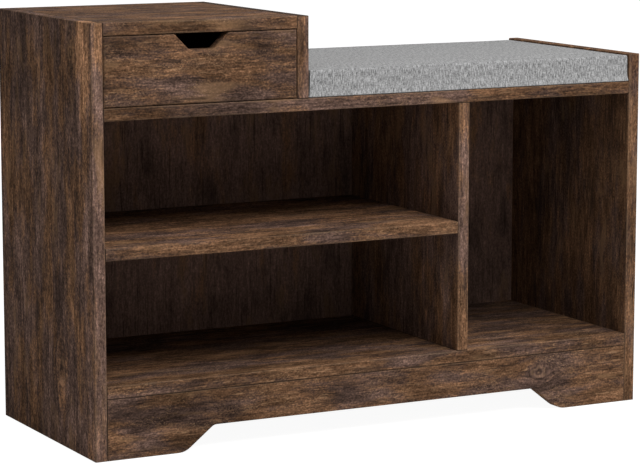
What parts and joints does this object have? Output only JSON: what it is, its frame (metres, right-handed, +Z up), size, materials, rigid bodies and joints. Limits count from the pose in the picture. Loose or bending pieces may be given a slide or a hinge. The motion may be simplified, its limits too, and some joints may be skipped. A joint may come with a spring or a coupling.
{
  "type": "entryway bench",
  "caption": "Low entryway storage bench: a cushioned seat beside a raised drawer box, open shoe bays below, a scroll-cut plinth and a drawer on roller runners.",
  "frame": {"origin": "on the floor, under the middle of the bench", "axes": "+X along the bench to its right seen from the front, +Y to the back, +Z up"},
  "size_m": [0.75, 0.29, 0.51],
  "materials": {
    "rustic_board": "printed rustic brown wood foil, matte",
    "thin_board": "thin hardboard with the same print, matte",
    "drawer_board": "drawer board with a plain dark brown foil",
    "runner_steel": "pale epoxy-coated sheet steel",
    "nylon": "moulded nylon",
    "cam_zinc": "die-cast zinc",
    "fastener_steel": "zinc-plated steel",
    "dowel_beech": "raw beech",
    "cushion_cloth": "grey heathered linen weave",
    "cushion_foam": "open-cell foam",
    "base_cloth": "thin black non-woven"
  },
  "bodies": {
    "cabinet": {"left_side_panel": "rustic_board", "right_side_panel": "rustic_board", "bottom_panel": "rustic_board", "middle_shelf": "rustic_board", "divider_panel": "rustic_board", "seat_panel": "rustic_board", "drawer_box_side": "rustic_board", "drawer_box_top": "rustic_board", "plinth_board": "rustic_board", "back_board": "thin_board", "drawer_box_back": "thin_board", "cabinet_runner_left": "runner_steel", "cabinet_runner_right": "runner_steel", "cabinet_cam_locks": "cam_zinc", "cabinet_cam_bolts": "fastener_steel", "cabinet_dowels": "dowel_beech", "cabinet_runner_screws": "fastener_steel"},
    "drawer": {"drawer_front": "rustic_board", "drawer_side_left": "drawer_board", "drawer_side_right": "drawer_board", "drawer_back": "drawer_board", "drawer_bottom": "thin_board", "drawer_runner_left": "runner_steel", "drawer_runner_right": "runner_steel", "drawer_cam_locks": "cam_zinc", "drawer_cam_bolts": "fastener_steel", "drawer_dowels": "dowel_beech", "drawer_back_screws": "fastener_steel", "drawer_runner_screws": "fastener_steel"},
    "cushion": {"cushion_cover": "cushion_cloth", "cushion_foam": "cushion_foam", "cushion_base_cloth": "base_cloth"},
    "front_roller_left": {"front_roller_left": "nylon"},
    "front_roller_right": {"front_roller_right": "nylon"},
    "rear_roller_left": {"rear_roller_left": "nylon"},
    "rear_roller_right": {"rear_roller_right": "nylon"}
  },
  "joints": [
    {"name": "drawer_slide", "type": "slide", "parent": "cabinet", "child": "drawer", "axis": [0, -1, 0], "range_m": [0, 0.185]},
    {"name": "cushion_lift", "type": "slide", "parent": "cabinet", "child": "cushion", "axis": [0, 0, 1], "range_m": [0, 0.06]},
    {"name": "front_roller_left_spin", "type": "hinge", "parent": "cabinet", "child": "front_roller_left", "pos_m": [-0.3539, -0.116, 0.4265], "axis": [1, 0, 0], "range_deg": [0, 1180]},
    {"name": "front_roller_right_spin", "type": "hinge", "parent": "cabinet", "child": "front_roller_right", "pos_m": [-0.1171, -0.116, 0.4265], "axis": [1, 0, 0], "range_deg": [0, 1180]},
    {"name": "rear_roller_left_spin", "type": "hinge", "parent": "drawer", "child": "rear_roller_left", "pos_m": [-0.3539, 0.108, 0.4265], "axis": [1, 0, 0], "range_deg": [0, 1180]},
    {"name": "rear_roller_right_spin", "type": "hinge", "parent": "drawer", "child": "rear_roller_right", "pos_m": [-0.1171, 0.108, 0.4265], "axis": [1, 0, 0], "range_deg": [0, 1180]}
  ],
  "couplings": [
    {"joint": "front_roller_left_spin", "follows": "drawer_slide", "rad_per_m": 111.11},
    {"joint": "front_roller_right_spin", "follows": "drawer_slide", "rad_per_m": 111.11},
    {"joint": "rear_roller_left_spin", "follows": "drawer_slide", "rad_per_m": 111.11},
    {"joint": "rear_roller_right_spin", "follows": "drawer_slide", "rad_per_m": 111.11}
  ]
}
